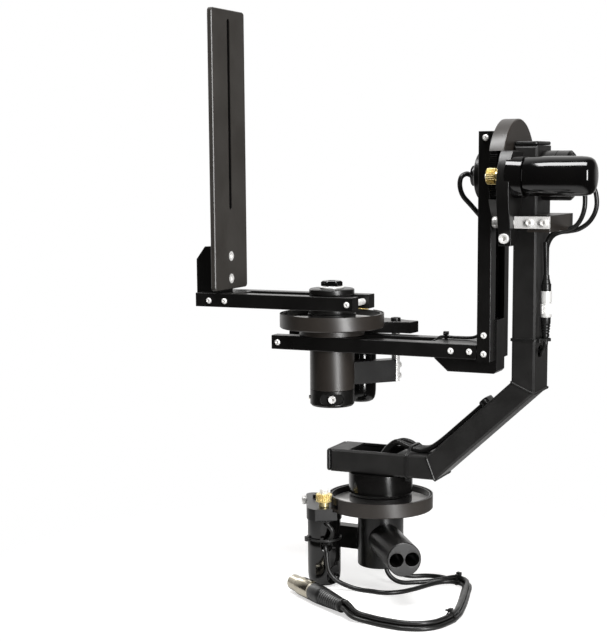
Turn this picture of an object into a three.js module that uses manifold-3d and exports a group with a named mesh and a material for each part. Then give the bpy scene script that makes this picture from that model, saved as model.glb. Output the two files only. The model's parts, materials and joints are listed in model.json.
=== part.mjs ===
// Motorised three-axis camera stabiliser head: pan base, bent arm, tilt frame, roll unit, camera plate.
// Millimetres, +Z up. The arm lies along +X; the head is drawn about the pan axis and then moved so that
// the origin is the mount point on the end face of the crane spigot.
import * as THREE from "three";
import { mergeVertices } from "three/addons/utils/BufferGeometryUtils.js";
import Module from "manifold-3d";

const wasm = await Module();
wasm.setup();

const G = 0.3; // gap left between pieces that touch
const MODULE = 1.25; // of the drive gears
const RAD = Math.PI / 180;

// ---- solids ----------------------------------------------------------------------------------------
function volume(g) {
  const s = g.index ? g.toNonIndexed() : g;
  const p = s.getAttribute("position");
  const a = new THREE.Vector3();
  const b = new THREE.Vector3();
  const c = new THREE.Vector3();
  let v = 0;
  for (let i = 0; i < p.count; i += 3) {
    a.fromBufferAttribute(p, i);
    b.fromBufferAttribute(p, i + 1);
    c.fromBufferAttribute(p, i + 2);
    v += a.dot(b.cross(c)) / 6;
  }
  return v;
}
function solid(g) {
  const s = g.index ? g.toNonIndexed() : g;
  const bare = new THREE.BufferGeometry().setAttribute("position", s.getAttribute("position").clone());
  const m = mergeVertices(bare, 1e-4);
  const triVerts = new Uint32Array(m.index.array);
  if (volume(g) < 0)
    for (let i = 0; i < triVerts.length; i += 3)
      [triVerts[i + 1], triVerts[i + 2]] = [triVerts[i + 2], triVerts[i + 1]];
  return new wasm.Manifold(
    new wasm.Mesh({ numProp: 3, vertProperties: m.attributes.position.array, triVerts }),
  );
}
function geometry(s) {
  const m = s.getMesh();
  const g = new THREE.BufferGeometry();
  g.setAttribute("position", new THREE.BufferAttribute(Float32Array.from(m.vertProperties), 3));
  g.setIndex(new THREE.BufferAttribute(Uint32Array.from(m.triVerts), 1));
  return g;
}
const join = (...gs) => geometry(gs.map(solid).reduce((a, b) => a.add(b)));
const cut = (g, ...tools) => geometry(tools.map(solid).reduce((a, b) => a.subtract(b), solid(g)));

// ---- shapes ----------------------------------------------------------------------------------------
const box = (x0, x1, y0, y1, z0, z1) =>
  new THREE.BoxGeometry(x1 - x0, y1 - y0, z1 - z0).translate((x0 + x1) / 2, (y0 + y1) / 2, (z0 + z1) / 2);
const cyl = (r, z0, z1, x = 0, y = 0, seg = 36) =>
  new THREE.CylinderGeometry(r, r, z1 - z0, seg).rotateX(Math.PI / 2).translate(x, y, (z0 + z1) / 2);
// A turned piece about Z from a list of [radius, height]; the list is closed on itself or ends on the axis.
function turned(points, seg = 40) {
  const p = points.map(([r, z]) => new THREE.Vector2(r, z));
  if (points[0][0] > 0 || points.at(-1)[0] > 0) p.push(p[0].clone());
  return geometry(solid(new THREE.LatheGeometry(p, seg).rotateX(Math.PI / 2)));
}
function outline(points) {
  return new THREE.Shape(points.map(([a, b]) => new THREE.Vector2(a, b)));
}
// A flat outline given in two axes and pushed along the third; round rounds its two faces' edges.
function slab(axis, points, from, to, round = 0) {
  const shape = Array.isArray(points) ? outline(points) : points;
  const g = new THREE.ExtrudeGeometry(shape, {
    depth: to - from - 2 * round,
    bevelEnabled: round > 0,
    bevelThickness: round,
    bevelSize: round,
    bevelOffset: -round,
    bevelSegments: 1,
    curveSegments: 4,
  }).translate(0, 0, from + round);
  const [X, Y, Z] = [[1, 0, 0], [0, 1, 0], [0, 0, 1]].map((v) => new THREE.Vector3(...v));
  const m = new THREE.Matrix4();
  if (axis === "x") m.makeBasis(Y, Z, X);
  if (axis === "y") m.makeBasis(X, Z, Y);
  return geometry(solid(g.applyMatrix4(m)));
}
function roundRect(x0, x1, y0, y1, r) {
  const s = new THREE.Shape();
  s.moveTo(x0 + r, y0).lineTo(x1 - r, y0);
  s.absarc(x1 - r, y0 + r, r, -Math.PI / 2, 0, false);
  s.lineTo(x1, y1 - r).absarc(x1 - r, y1 - r, r, 0, Math.PI / 2, false);
  s.lineTo(x0 + r, y1).absarc(x0 + r, y1 - r, r, Math.PI / 2, Math.PI, false);
  s.lineTo(x0, y0 + r).absarc(x0 + r, y0 + r, r, Math.PI, 1.5 * Math.PI, false);
  return s;
}
// A round (or flat) cable along smooth points.
function cable(points, r, steps = 40, sides = 8, flat = 1) {
  const path = new THREE.CatmullRomCurve3(points.map((p) => new THREE.Vector3(...p)), false, "centripetal");
  const ring = [];
  for (let i = 0; i < sides; i++)
    ring.push([r * Math.cos((2 * Math.PI * i) / sides), flat * r * Math.sin((2 * Math.PI * i) / sides)]);
  return geometry(
    solid(new THREE.ExtrudeGeometry(outline(ring), { steps, bevelEnabled: false, extrudePath: path })),
  );
}
// A spur gear about Z, with teeth thinner than half the pitch so that it runs free.
function gear(teeth, bore, z0, z1, phase = 0) {
  const pitch = (MODULE * teeth) / 2;
  const step = (2 * Math.PI) / teeth;
  const pts = [];
  for (let i = 0; i < teeth; i++)
    for (const [r, turn] of [[pitch + 0.9, -0.07], [pitch + 0.9, 0.07], [pitch - 1.4, 0.5]]) {
      const a = phase + (i + turn) * step;
      pts.push([r * Math.cos(a), r * Math.sin(a)]);
    }
  const body = slab("z", pts, z0, z1);
  return bore ? cut(body, cyl(bore, z0 - 1, z1 + 1)) : body;
}

// ---- drive module: the same geared motor drive turns all three axes -------------------------------
// Its own frame: Z is the driven axis, the tray's floor starts at z = 0 and the tray opens towards +Z;
// the motor stands on +X, and the motor plate swings about a pin at PIVOT.
const GEAR_TEETH = 88;
const PINION_TEETH = 13;
const CENTRE = 63.3; // driven axis to motor axis: both pitch radii plus running clearance
const PIVOT = [64, -45];
const TRAY_R = 57.6;
const TRAY_H = 15.7;
const SHAFT_R = 12;
const PLATE_Z = [-9.7, 3.2];

function gearTray() {
  const tray = turned([
    [SHAFT_R + G, 0], [TRAY_R - 1, 0], [TRAY_R, 1], [TRAY_R, TRAY_H], [TRAY_R - 1.2, TRAY_H],
    [TRAY_R - 1.2, 2.4], [SHAFT_R + G, 2.4],
  ], 54);
  return cut(tray, box(46, 70, -23, 25, 2.4 + 0.01, 30));
}
const driveGear = () => gear(GEAR_TEETH, SHAFT_R + G, 7.4, 15.2);
function motorPlate() {
  const s = new THREE.Shape();
  s.moveTo(37, 24).lineTo(70, 25).quadraticCurveTo(86, 8, 86.5, -10);
  s.quadraticCurveTo(86, -32, 76, -54).lineTo(75, -68).lineTo(57, -68).lineTo(55, -52);
  s.lineTo(46, -36).lineTo(39, -22).lineTo(36, -8);
  return cut(
    slab("z", s, ...PLATE_Z, 0.6),
    cyl(TRAY_R + 0.6, -G, 9, 0, 0, 54),
    cyl(3.6, -20, 20, ...PIVOT, 20),
  );
}
// Gearbox with a flat facet on its side, and the rounded motor cover below it with the cable's arched hole.
const SPLIT = -26; // where the gearbox ends and the cover starts
function gearbox(r) {
  const z1 = PLATE_Z[0] - G;
  return cut(cyl(r, SPLIT, z1, CENTRE, 0, 36), box(CENTRE - 30, CENTRE + 30, r - 2.4, r + 5, -60, 0));
}
function motorCover(r, end) {
  const top = SPLIT - G;
  const shell = turned([
    [0, top], [r - 1, top], [r, top - 1.5], [r - 0.6, end + 22], [r - 2, end + 9], [r - 4.5, end + 3],
    [r - 9, end + 0.5], [0, end],
  ], 28).translate(CENTRE, 0, 0);
  const arch = slab("y", roundRect(CENTRE - 6.5, CENTRE + 6.5, SPLIT - 18, SPLIT + 9, 6.4), r - 9, r + 4);
  return cut(shell, arch);
}
function pinion(shaftEnd) {
  // a gap between two teeth faces the driven gear
  const mesh = gear(PINION_TEETH, 0, 8.5, 17.2, Math.PI + Math.PI / PINION_TEETH);
  return join(mesh, cyl(6, PLATE_Z[1] + G, 8.6, 0, 0, 24), cyl(2.6, 17, shaftEnd, 0, 0, 16))
    .translate(CENTRE, 0, 0);
}
// Silver end plate that carries the pivot pin; the pin runs through the motor plate to its cap.
function pivotPlate(plate, x, y) {
  const pin = cyl(3.2, PLATE_Z[0] - 1, PLATE_Z[1] + 1, x, y, 20);
  const cap = cyl(5.6, PLATE_Z[1] + G, PLATE_Z[1] + 9, x, y, 24);
  return join(plate, pin, cap);
}
const PIVOT_RHO = Math.hypot(...PIVOT);
const PIVOT_ANGLE = Math.atan2(PIVOT[1], PIVOT[0]);
// Pan and roll: a bar runs out radially from the tube to the end plate.
const radialBar = (tubeR, z1) =>
  cut(
    slab("z", roundRect(20, PIVOT_RHO - 2.8, -7, 7, 1), z1 - 25, z1).rotateZ(PIVOT_ANGLE),
    cyl(tubeR + G, -200, 200, 0, 0, 40),
  );
function radialPlate(z1) {
  const inner = PIVOT_RHO - 2.5;
  const plate = slab("z", roundRect(inner, inner + 5, -6, 6, 0.8), z1 - 25, PLATE_Z[0] - G)
    .rotateZ(PIVOT_ANGLE);
  return pivotPlate(plate, ...PIVOT);
}

// ---- the main sizes --------------------------------------------------------------------------------
const PAN = { tray: 64, tubeR: 25.4, angle: 213, bar: -24.5, cover: -84, web: 33 };
const ROLL = { x: -58, tray: 261.8, tubeR: 24.6, angle: 83, bar: -40, cover: -92 };
const TILT = { z: 426.5, tray: 153.6, tubeR: 25.2, cover: -95 };
const ARM = { y: 25, wall: 2.5, bottom: 105, tube: 25, left: -50, postX: 154.9, top: 456.8 };
const BEND_LOW = 72.2; // x where the lower box's underside turns up
const BEND_HIGH = 205; // z where the post's outer face starts
const RAIL = { y0: 14.5, y1: 30.5 };
const TILT_RAIL_X = [119.4, 134.2];
const LOWER_Z = [238.1, 253.5];
const UPPER_Z = [282, 297.4];
const PLATE_X = -182.3; // the camera plate's face towards the roll axis
const PLATE_TOP = 609.5;
const SPIGOT = { angle: -54, z: 32, r: 18.3, length: 104, bore: 7.5, gap: 8.4 };

const COLOURS = {
  black_anodised: 0x1d1b1b,
  warm_anodised: 0x2c2826,
  powder_coat: 0x191919,
  gloss_black: 0x0d0d0e,
  bright_steel: 0xc9c9c6,
  brass: 0xc9a24a,
  black_rubber: 0x141414,
  black_plastic: 0x1a1a1b,
  nickel: 0xb8b2a2,
};
const shades = {};
for (const [name, color] of Object.entries(COLOURS))
  shades[name] = new THREE.MeshStandardMaterial({ color, roughness: 0.5 });

const group = new THREE.Group();
const head = new THREE.Group(); // drawn about the pan axis
group.add(head);
function put(parent, name, shade, g) {
  const mesh = new THREE.Mesh(g, shades[shade]);
  mesh.name = name;
  parent.add(mesh);
  return mesh;
}

// ---- pan base ---------------------------------------------------------------------------------------
const base = new THREE.Group();
head.add(base);
const panTop = PAN.tray - G;
put(base, "pan_housing", "black_anodised", turned([
  [7, PAN.web], [19, PAN.web], [19, -0.3], [PAN.tubeR - 1, -0.3], [PAN.tubeR, 0.8], [PAN.tubeR, panTop],
  [SHAFT_R + G, panTop], [SHAFT_R + G, PAN.web + 5], [7, PAN.web + 5],
], 40));
const spigotDir = new THREE.Group();
spigotDir.rotation.z = SPIGOT.angle * RAD;
base.add(spigotDir);
{
  const bar = turned([
    [0, 0], [SPIGOT.r, 0], [SPIGOT.r, SPIGOT.length - 0.8], [SPIGOT.r - 0.8, SPIGOT.length],
    [0, SPIGOT.length],
  ], 40).rotateY(Math.PI / 2).translate(0, 0, SPIGOT.z);
  const bores = [-1, 1].map((s) =>
    cyl(SPIGOT.bore, SPIGOT.length - 40, SPIGOT.length + 5, 0, 0, 32)
      .rotateY(Math.PI / 2).translate(0, s * SPIGOT.gap, SPIGOT.z));
  put(spigotDir, "crane_spigot", "warm_anodised", cut(bar, cyl(PAN.tubeR + G, -50, 90, 0, 0, 44), ...bores));
}
// A drive module placed on an axis: returns the group its pieces go in.
function module(parent, place) {
  const g = new THREE.Group();
  place(g);
  parent.add(g);
  return g;
}
function addDrive(g, name, gearboxR, coverR, end, shaftEnd) {
  put(g, `${name}_motor_plate`, "black_anodised", motorPlate());
  put(g, `${name}_gearbox`, "black_anodised", gearbox(gearboxR));
  put(g, `${name}_motor_cover`, "gloss_black", motorCover(coverR, end));
  put(g, `${name}_pinion`, "brass", pinion(shaftEnd));
  put(g, `${name}_gear_cover`, "warm_anodised", gearTray());
  put(g, `${name}_drive_gear`, "black_anodised", driveGear());
}
const pan = module(head, (g) => {
  g.rotation.z = PAN.angle * RAD;
  g.position.z = PAN.tray;
});
addDrive(pan, "pan", 19.4, 17.8, PAN.cover, 22.5);
put(pan, "pan_bracket_bar", "black_anodised", radialBar(PAN.tubeR, PAN.bar));
put(pan, "pan_pivot_plate", "bright_steel", radialPlate(PAN.bar));

// ---- arm --------------------------------------------------------------------------------------------
put(head, "pan_neck", "black_anodised", turned([
  [6, 40], [SHAFT_R, 40], [SHAFT_R, PAN.tray + TRAY_H + 0.4], [33.5, PAN.tray + TRAY_H + 0.4], [33.5, 82.5],
  [35.2, 82.5], [35.2, ARM.bottom - G], [6, ARM.bottom - G],
], 40));

const bend = Math.atan2(BEND_HIGH - ARM.bottom, ARM.postX + ARM.tube - BEND_LOW);
const t = ARM.tube;
const lowMiter = Math.tan(bend / 2);
const highMiter = Math.tan((Math.PI / 2 - bend) / 2);
const postR = ARM.postX + t;
function armOutline(inset, over) {
  const i = inset;
  return [
    [ARM.left - over, ARM.bottom + i], [BEND_LOW - i * lowMiter, ARM.bottom + i],
    [postR - i, BEND_HIGH + i * highMiter], [postR - i, ARM.top + over], [ARM.postX + i, ARM.top + over],
    [ARM.postX + i, BEND_HIGH + (t - i) * highMiter], [BEND_LOW - (t - i) * lowMiter, ARM.bottom + t - i],
    [ARM.left - over, ARM.bottom + t - i],
  ];
}
put(head, "arm_tube", "powder_coat", cut(
  slab("y", armOutline(0, 0), -ARM.y, ARM.y, 2.2),
  slab("y", armOutline(ARM.wall, 5), -ARM.y + ARM.wall, ARM.y - ARM.wall),
  box(-29, 27, -20.5, 20.5, ARM.bottom + t - 8, ARM.bottom + t + 3), // cable window
  cyl(8, ARM.bottom - 1, ARM.bottom + 4, 0, 0, 28), // cables rise from the hollow neck
  slab("x", roundRect(-14, 4, 241, 253, 5.9), postR - 6, postR + 4), // cable hole in the post
  cyl(15.6, 140, 190, 0, 0, 36).rotateY(Math.PI / 2).translate(0, 0, TILT.z), // tilt shaft's housing
));
const capY = ARM.y - G;
put(head, "arm_end_cap", "black_plastic", slab("x",
  roundRect(-capY, capY, ARM.bottom + G, ARM.bottom + t - G, 3), ARM.left - 4.2, ARM.left - G, 1));
put(head, "post_top_cap", "black_plastic", slab("z",
  roundRect(ARM.postX + G, postR - G, -capY, capY, 3), ARM.top + G, ARM.top + 4.2, 1));

// cables from the window, under the tie and up the inside of the bend
{
  const inner = (x) => ARM.bottom + t + (x - (BEND_LOW - t * lowMiter)) * Math.tan(bend);
  const z = ARM.bottom + t;
  put(head, "arm_cable", "black_rubber", cable([
    [4, 0, z - 6], [12, 0, z + 4], [22, 0, z + 9], [32, 0, z + 7], [42, 0, z + 3.6], [56, 0, z + 4],
    [72, 0, inner(72) + 5], [98, 0, inner(98) + 4.5], [112, 0, inner(112) + 4.5],
    [121, 0, inner(121) + 4.5],
  ], 12, 28, 10, 0.22));
}

// ---- tilt unit on the post --------------------------------------------------------------------------
const tilt = module(head, (g) => {
  // local Z points along -X, local X towards -Y, so the motor stands in front of the post
  const m = new THREE.Matrix4().makeBasis(
    new THREE.Vector3(0, -1, 0), new THREE.Vector3(0, 0, 1), new THREE.Vector3(-1, 0, 0));
  g.setRotationFromMatrix(m);
  g.position.set(TILT.tray, 0, TILT.z);
});
const wallX = TILT.tray - postR; // the post's outer face in the module's frame
addDrive(tilt, "tilt", 21.3, 19.4, TILT.cover, 18.6);
put(tilt, "tilt_housing", "black_anodised", turned([
  [0, wallX - 15], [TILT.tubeR, wallX - 15], [TILT.tubeR, wallX - G], [15.2, wallX - G], [15.2, -G],
  [SHAFT_R + G, -G], [SHAFT_R + G, wallX - 10], [0, wallX - 10],
], 40));
{
  const z1 = wallX - 15 - G;
  const collar = turned([
    [0, z1], [TILT.tubeR, z1], [TILT.tubeR, z1 - 12], [TILT.tubeR - 2.5, z1 - 14.5], [0, z1 - 14.5],
  ], 40);
  const slot = box(-1.5, 1.5, 10, 40, z1 - 30, z1 - 1);
  put(tilt, "tilt_end_collar", "black_anodised", cut(collar, slot, cyl(9, z1 - 30, z1 - 9, 0, 0, 28)));
}
{
  const z1 = wallX - G;
  const bar = slab("y", roundRect(-23, PIVOT[0] - 2.8, z1 - 24, z1, 1), -8, 8).translate(0, PIVOT[1] - 1.5, 0);
  put(tilt, "tilt_bracket_bar", "warm_anodised", bar);
  const x = PIVOT[0];
  const plate = slab("y", roundRect(x - 2.5, x + 2.5, z1 - 24, PLATE_Z[0] - G, 0.8), -6, 6);
  put(tilt, "tilt_pivot_plate", "bright_steel", pivotPlate(plate.translate(0, PIVOT[1], 0), ...PIVOT));
}
{
  // inline connector on the post's outer face
  const x = postR + 6.6;
  const barrel = turned([
    [0, 262], [2.8, 262], [4.6, 270], [4.6, 282.5], [5.8, 283], [5.8, 310], [4.6, 310.5], [4.6, 317],
    [2.8, 325.5], [0, 325.5],
  ], 20).translate(x, -10, 0);
  put(head, "tilt_connector_lead", "black_rubber", join(
    barrel,
    cable([[postR - 1.5, -6, 247.5], [postR + 3, -8, 248], [x, -10, 254], [x, -10, 264]], 2.5, 10),
    cable([[x, -10, 323], [x, -11, 334], [x, -13, 346], [x, -14.5, 357]], 2.5, 8),
  ));
  // two leads loop out of the collar's recess, under the bar and down into the connector's lead
  put(head, "tilt_rear_leads", "black_rubber", join(
    cable([
      [204.7, -3.6, 428], [210, -3.6, 428], [217, -2, 424], [221, 0, 414], [222, 1, 403], [221, 2, 392],
      [216.5, 4, 380], [209, 5, 371.5], [201, 3, 367.6], [193, -6, 366], [188, -13, 364], [x, -14.5, 360],
    ], 2.4, 18),
    cable([
      [204.7, 3.8, 425], [211, 4, 425.5], [222, 5, 423], [230, 6, 413], [232.5, 7, 400], [230.5, 8, 388],
      [223, 9, 376], [212, 9, 368], [202, 5, 364.4], [194, -4, 362.5], [188.5, -12, 363], [x, -14.5, 360],
    ], 2.4, 18),
  ));
}

// ---- tilt rotor: gear, shaft and the clamp that holds the frame's rails ----------------------------
const railLocal = TILT.tray - TILT_RAIL_X[1]; // the rails' near face in the module's frame
put(tilt, "tilt_shaft", "bright_steel", turned([
  [0, wallX - 9], [SHAFT_R, wallX - 9], [SHAFT_R, 15.6], [21, 15.6], [21, railLocal - G], [13.8, railLocal - G],
  [13.8, railLocal + 14.6], [0, railLocal + 14.6],
], 40));
function clampDisc(g, name, z) {
  put(g, `${name}_clamp_disc`, "black_anodised", turned([
    [0, z], [24.2, z], [25, z + 0.8], [25, z + 6], [23.5, z + 7], [0, z + 7],
  ], 40));
  const top = z + 7 + G;
  const bolt = turned([[0, top], [13.4, top], [13.4, top + 1.8], [12.4, top + 1.8], [12.4, top + 7],
    [11.4, top + 8], [0, top + 8]], 28);
  const socket = new THREE.CylinderGeometry(4.6, 4.6, 6, 6).rotateX(Math.PI / 2).translate(0, 0, top + 8);
  put(g, `${name}_clamp_bolt`, "bright_steel", cut(bolt, socket));
}
clampDisc(tilt, "tilt", railLocal + 15.2);

// ---- tilt frame: two vertical rails, two horizontal rails and the corner block ---------------------
const rail = (x0, x1, y0, y1, z0, z1, axis) => {
  if (axis === "x") return slab("x", roundRect(y0, y1, z0, z1, 1), x0, x1);
  return slab("z", roundRect(x0, x1, y0, y1, 1), z0, z1);
};
const FRAME_TOP = 471.5;
for (const [side, s] of [["front", -1], ["rear", 1]]) {
  const [y0, y1] = s < 0 ? [-RAIL.y1, -RAIL.y0] : [RAIL.y0, RAIL.y1];
  const bolts = (x, z) => cyl(3.1, -60, 60, 0, 0, 16).rotateX(Math.PI / 2).translate(x, 0, z);
  put(head, `tilt_rail_${side}`, "black_anodised", cut(
    rail(TILT_RAIL_X[0], TILT_RAIL_X[1], y0, y1, 236, FRAME_TOP, "z"), bolts(127, 465)));
  put(head, `lower_rail_${side}`, "black_anodised", cut(
    rail(-117.5, TILT_RAIL_X[0] - G, y0, y1, ...LOWER_Z, "x"), bolts(-110, 245.8)));
  put(head, `upper_rail_${side}`, "black_anodised", cut(
    rail(-212.5, -20, y0, y1, ...UPPER_Z, "x"), bolts(-27, 289.7)));
}
const inside = RAIL.y0 - G;
put(head, "corner_block", "black_anodised", slab("y", [
  [67, 253.5], [67, 235], [82, 221.8], [133, 221.8], [135.6, 224.5], [135.6, 278], [121, 278],
  [121, 256], [118, 253.5],
], -inside, inside));
// through bolts with a plain spacer between the rails
function throughBolt(name, x, z) {
  const y1 = RAIL.y1 + G;
  put(head, name, "bright_steel", turned([
    [0, -y1 - 1.4], [3, -y1 - 1.4], [3, -y1], [2.6, -y1], [2.6, -inside], [3.6, -inside],
    [3.6, inside], [2.6, inside], [2.6, y1], [3, y1], [3, y1 + 1.4], [0, y1 + 1.4],
  ], 12).rotateX(Math.PI / 2).translate(x, 0, z));
}
throughBolt("frame_top_bolt", 127, 465);
throughBolt("frame_end_bolt", -110, 245.8);
throughBolt("camera_arm_end_bolt", -27, 289.7);

// cable from the clamp's hollow bolt, down between the rails and into the gap of the lower pair
put(head, "frame_cable", "black_rubber", cable([
  [101.6, 0, 427], [97.5, -3, 428.5], [93.5, -8, 425], [92.6, -9, 416], [95, -6, 406], [101, 0, 397],
  [110, 6, 385], [123, 8, 370], [126.5, 8, 340], [126.5, 8, 304], [123.5, 8, 290], [115, 8, 280],
  [109.5, 8, 268], [97, 9, 258.6], [84, 9, 257.2], [67, 9, 257.2], [60, 9, 252], [52, 9, 247.5], [44, 9, 246],
], 2.6, 32));

// ---- roll unit --------------------------------------------------------------------------------------
const roll = module(head, (g) => {
  g.rotation.z = ROLL.angle * RAD;
  g.position.set(ROLL.x, 0, ROLL.tray);
});
addDrive(roll, "roll", 19.4, 17.6, ROLL.cover, 18.6);
const low = LOWER_Z[0] - ROLL.tray;
put(roll, "roll_housing", "black_anodised", turned([
  [0, -68.6], [ROLL.tubeR, -68.6], [ROLL.tubeR, low - G], [14, low - G], [14, LOWER_Z[1] - ROLL.tray + G],
  [36, LOWER_Z[1] - ROLL.tray + G], [36, -G], [SHAFT_R + G, -G], [SHAFT_R + G, -22], [0, -22],
], 40));
{
  const z1 = -68.6 - G;
  const collar = turned([
    [0, z1], [ROLL.tubeR, z1], [ROLL.tubeR, z1 - 16], [ROLL.tubeR - 2, z1 - 18.2], [0, z1 - 18.2],
  ], 40);
  const recess = slab("z", roundRect(-13, 13, -6, 6, 5.9), 0, 20).rotateY(Math.PI / 2)
    .rotateX(Math.PI / 2).translate(ROLL.tubeR - 5, 0, z1 - 9);
  const angle = -Math.PI / 2 + 0.4 - ROLL.angle * RAD;
  put(roll, "roll_end_collar", "black_anodised", cut(collar, recess.rotateZ(angle)));
}
put(roll, "roll_bracket_bar", "black_anodised", radialBar(ROLL.tubeR, ROLL.bar));
put(roll, "roll_pivot_plate", "bright_steel", radialPlate(ROLL.bar));

// ---- roll rotor and camera arm ----------------------------------------------------------------------
const up = UPPER_Z[0] - ROLL.tray;
put(roll, "roll_shaft", "black_anodised", turned([
  [0, -21.5], [SHAFT_R, -21.5], [SHAFT_R, 15.9], [26, 15.9], [26, up - G], [13.8, up - G], [13.8, up + 15],
  [0, up + 15],
], 40));
clampDisc(roll, "roll", up + 15.6);

put(head, "upper_corner_block", "black_anodised", slab("y", [
  [-220, 282.3], [-164, 282.3], [-164, 297], [PLATE_X - 6.4, 297], [PLATE_X - 6.4, 348.5], [-209, 348.5],
  [-220, 334],
], -inside, inside));
{
  const x = PLATE_X;
  const plate = slab("x", roundRect(-38, 38, 300, PLATE_TOP, 4), x - 6, x, 0.8);
  const slot = slab("x", roundRect(-3.4, 3.4, 389.5, 599.7, 3.3), x - 10, x + 10);
  // two countersunk holes for the screws into the corner block
  const screws = [312, 337.4].map((z) =>
    turned([[0, x - 7], [2.7, x - 7], [2.7, x - 3], [5.9, x], [5.9, x + 1], [0, x + 1]], 20)
      .rotateY(Math.PI / 2).translate(0, 0, z));
  put(head, "camera_plate", "warm_anodised", cut(plate, slot, ...screws));
}

// ---- free cords and the connector they end in ------------------------------------------------------
const FLOOR = -20.3;
const CORD_R = 2.5;
const z = FLOOR + CORD_R;
const bundle = [
  [80, 23.4], [88, 21], [95, 14.5], [99.5, 4], [103, -10], [109.5, -35], [116, -64], [120.5, -93],
  [118.5, -117], [109, -138], [91, -148], [69, -148.5], [47, -144],
];
// a strand of the bundle: side steps across the route, lift raises it onto the other two
const strand = (side, lift) => bundle.map(([x, y], i) => {
  const [ax, ay] = bundle[Math.max(0, i - 1)];
  const [bx, by] = bundle[Math.min(bundle.length - 1, i + 1)];
  const l = Math.hypot(bx - ax, by - ay);
  return [x - (side * (by - ay)) / l, y + (side * (bx - ax)) / l, z + lift];
});
const SIDE = 2.9;
put(head, "motor_cord", "black_rubber", cable([
  [-48.9, -42.7, 27], [-46.5, -46.5, 26.8], [-44, -50.3, 25.2], [-41.9, -53.7, 21.6],
  [-40.5, -55.6, 16], [-39.5, -56.4, 9], [-37.2, -56, 0.5], [-31, -53.6, -8], [-19, -50, -14.6],
  [-5, -48, z], [10, -48.6, z], [24, -48.2, z],
  [37, -40, z], [47, -25, z], [54, -9, z], [59, 3, z], [64.4, 12, z], [71.4, 18.3, z],
  ...strand(-SIDE, 0), [31, -139, z + 3], [20.4, -133.2, z + 6.2],
], CORD_R, 40));
put(head, "signal_cord", "black_rubber", cable([
  [9, -8, PAN.web - G], [9, -8, 20], [9, -8.2, 8], [9.8, -8.4, -1], [13, -8.2, -9], [19.5, -7, -15],
  [28, -4.5, z], [39, 1, z], [51, 9.5, z], [61, 17, z + 1], [70.5, 21.6, z + 3], ...strand(0, 4.9),
  [31.5, -142, z + 7], [20.4, -135.2, z + 11.4],
], CORD_R, 36));
put(head, "power_cord", "black_rubber", cable([
  [9, 8, PAN.web - G], [9, 8, 20], [9, 8.2, 8], [10, 8.8, -1], [13.4, 11, -9], [20, 16, -15],
  [29, 23.5, z], [43, 31, z], [57, 33, z], [70, 29.6, z], ...strand(SIDE, 0), [29, -146.5, z + 3],
  [17.2, -138.2, z + 6.2],
], CORD_R, 36));
// connector lying on the floor: shell, boot and ribbed strain relief in one turned piece
{
  const a = [-72, -73.5];
  const b = [17.6, -134.9];
  const length = Math.hypot(b[0] - a[0], b[1] - a[1]);
  const profile = [[0, 0], [8, 0], [8.6, 0.8], [8.6, 22], [10, 22.6], [10, 44], [9.6, 45], [9.6, 60]];
  for (let i = 0; i < 5; i++) profile.push([7.2 - i * 0.4, 63 + i * 8], [8.3 - i * 0.5, 67 + i * 8]);
  profile.push([5.6, length], [0, length]);
  const plug = turned(profile, 20).rotateY(Math.PI / 2);
  const cavity = cyl(7, -1, 12, 0, 0, 24).rotateY(Math.PI / 2);
  const g = new THREE.Group();
  g.rotation.z = Math.atan2(b[1] - a[1], b[0] - a[0]);
  g.position.set(a[0], a[1], FLOOR + 10.1);
  head.add(g);
  put(g, "cord_plug", "nickel", cut(plug, cavity));
}

// the origin goes to the mount point on the spigot's end face, above the two bores
const mount = new THREE.Vector3(SPIGOT.length, 0, SPIGOT.z + 13)
  .applyAxisAngle(new THREE.Vector3(0, 0, 1), SPIGOT.angle * RAD);
head.position.copy(mount).negate();

export default group;
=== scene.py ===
"""A motorised three-axis camera head: its cords, fine pieces and materials, with camera and light."""

import json
import math

import bmesh
import bpy
from mathutils import Matrix, Vector, noise


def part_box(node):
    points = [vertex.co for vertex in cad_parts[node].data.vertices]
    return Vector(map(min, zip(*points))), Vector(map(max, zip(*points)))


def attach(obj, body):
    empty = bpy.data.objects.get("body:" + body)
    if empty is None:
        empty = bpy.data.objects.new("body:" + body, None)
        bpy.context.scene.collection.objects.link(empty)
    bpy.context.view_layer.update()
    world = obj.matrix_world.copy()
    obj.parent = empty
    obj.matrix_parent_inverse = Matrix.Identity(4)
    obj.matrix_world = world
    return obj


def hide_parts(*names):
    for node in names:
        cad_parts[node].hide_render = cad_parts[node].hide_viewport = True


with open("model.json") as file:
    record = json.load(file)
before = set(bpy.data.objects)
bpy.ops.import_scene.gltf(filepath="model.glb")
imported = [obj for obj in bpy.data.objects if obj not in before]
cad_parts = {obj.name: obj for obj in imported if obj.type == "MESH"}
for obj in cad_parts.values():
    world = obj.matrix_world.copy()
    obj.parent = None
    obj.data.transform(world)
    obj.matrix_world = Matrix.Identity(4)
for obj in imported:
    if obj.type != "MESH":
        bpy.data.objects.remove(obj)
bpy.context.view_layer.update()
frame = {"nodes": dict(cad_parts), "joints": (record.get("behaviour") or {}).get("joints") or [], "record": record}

# ---- places, in millimetres about the pan axis, as the CAD source draws them ---------------------
MM = 0.001
PAN_JOINT_Z = 90  # height of the pan joint's point above the pan tube's lower end
AXIS = {j["name"]: Vector(j["pos_m"]) for j in frame["joints"] if j.get("pos_m")}
ORIGIN = AXIS["pan"] - Vector((0, 0, PAN_JOINT_Z * MM))
HEAD = Matrix.Translation(ORIGIN) @ Matrix.Scale(MM, 4)


def low(node):
    """Lowest corner of a CAD node, in head millimetres."""
    return (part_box(node)[0] - ORIGIN) / MM


def high(node):
    """Highest corner of a CAD node, in head millimetres."""
    return (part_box(node)[1] - ORIGIN) / MM


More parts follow.
